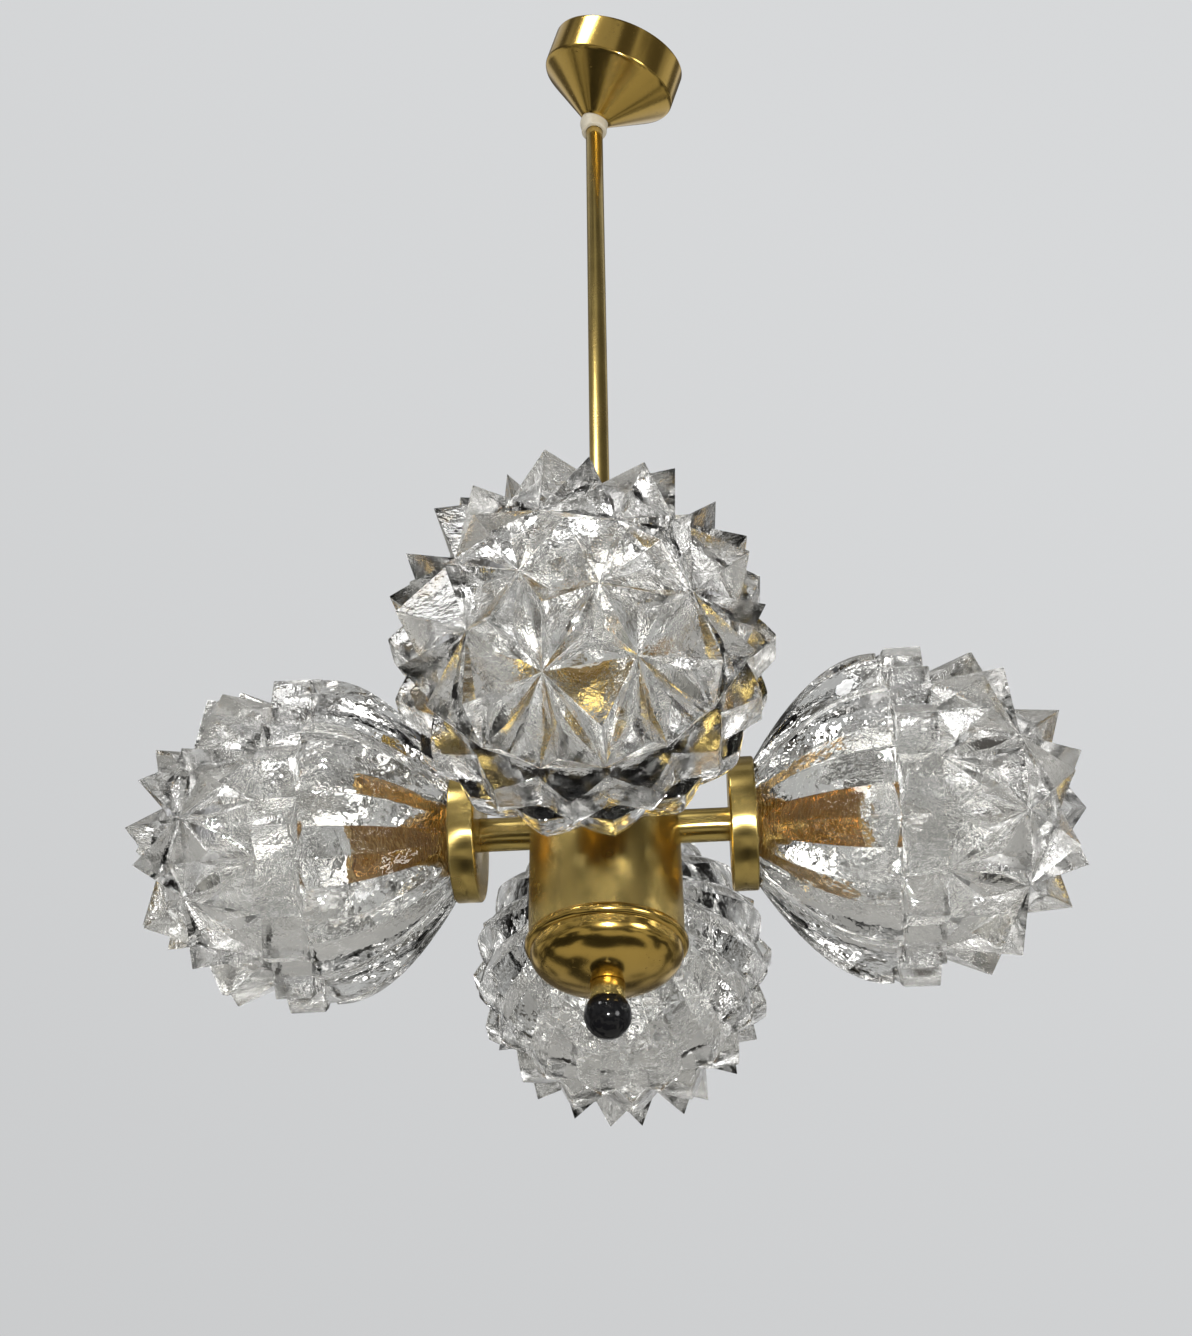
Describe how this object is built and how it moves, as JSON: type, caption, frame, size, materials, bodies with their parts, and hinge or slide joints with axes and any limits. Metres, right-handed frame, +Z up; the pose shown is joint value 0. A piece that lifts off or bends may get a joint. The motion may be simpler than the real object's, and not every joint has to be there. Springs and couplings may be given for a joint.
{
  "type": "multi arm chandelier",
  "caption": "Ceiling light with a drum on a down rod, level arms, flat cups and spiky pressed glass globes; loose canopy slides and tips on its collar.",
  "frame": {"origin": "centre of the hanging eye's hole, at the top of the down rod", "axes": "+Z up along the down rod; +Y along the eye's hole and the back arm; the front arm points along -Y and the right arm along +X"},
  "size_m": [0.509, 0.509, 0.7862],
  "materials": {
    "satin_brass": "satin",
    "polished_brass": "polished",
    "inner_brass": "raw",
    "golden_sleeve": "polished",
    "black_gloss": "gloss",
    "ivory_nylon": "matte",
    "porcelain": "glazed",
    "white_insulation": "matte",
    "zinc_steel": "plated",
    "crystal_glass": "clear",
    "gasket_rubber": "matte"
  },
  "bodies": {
    "frame": {"hanging_eye": "inner_brass", "eye_locknut": "inner_brass", "terminal_block": "porcelain", "supply_lead": "white_insulation", "down_rod": "satin_brass", "hub_top_cover": "polished_brass", "hub_body": "satin_brass", "hub_bottom_cap": "polished_brass", "rod_coupler": "inner_brass", "hub_stud": "zinc_steel", "junction_block": "porcelain", "finial_neck": "satin_brass", "finial_ball": "black_gloss", "arm_front": "satin_brass", "arm_right": "satin_brass", "arm_back": "satin_brass", "arm_left": "satin_brass", "hub_arm_nuts": "zinc_steel", "cup_arm_nuts": "zinc_steel", "arm_leads": "white_insulation", "cup_front": "satin_brass", "cup_right": "satin_brass", "cup_back": "satin_brass", "cup_left": "satin_brass", "cup_gaskets": "gasket_rubber", "lampholder_front": "golden_sleeve", "lampholder_right": "golden_sleeve", "lampholder_back": "golden_sleeve", "lampholder_left": "golden_sleeve", "socket_front": "porcelain", "socket_right": "porcelain", "socket_back": "porcelain", "socket_left": "porcelain", "lamp_contacts": "golden_sleeve"},
    "collar": {"canopy_collar": "ivory_nylon", "collar_screw": "zinc_steel"},
    "canopy": {"canopy_shell": "polished_brass"},
    "shade_front": {"shade_front": "crystal_glass"},
    "shade_right": {"shade_right": "crystal_glass"},
    "shade_back": {"shade_back": "crystal_glass"},
    "shade_left": {"shade_left": "crystal_glass"}
  },
  "joints": [
    {"name": "canopy_slide", "type": "slide", "parent": "frame", "child": "collar", "axis": [0, 0, 1], "range_m": [-0.5, 0]},
    {"name": "canopy_tilt", "type": "hinge", "parent": "collar", "child": "canopy", "pos_m": [0, 0, -0.042], "axis": [-0.7071, -0.7071, 0], "range_deg": [0, 30]},
    {"name": "shade_front_off", "type": "slide", "parent": "frame", "child": "shade_front", "axis": [0, -1, 0], "range_m": [0, 0.16]},
    {"name": "shade_right_off", "type": "slide", "parent": "frame", "child": "shade_right", "axis": [1, 0, 0], "range_m": [0, 0.16]},
    {"name": "shade_back_off", "type": "slide", "parent": "frame", "child": "shade_back", "axis": [0, 1, 0], "range_m": [0, 0.16]},
    {"name": "shade_left_off", "type": "slide", "parent": "frame", "child": "shade_left", "axis": [-1, 0, 0], "range_m": [0, 0.16]}
  ]
}
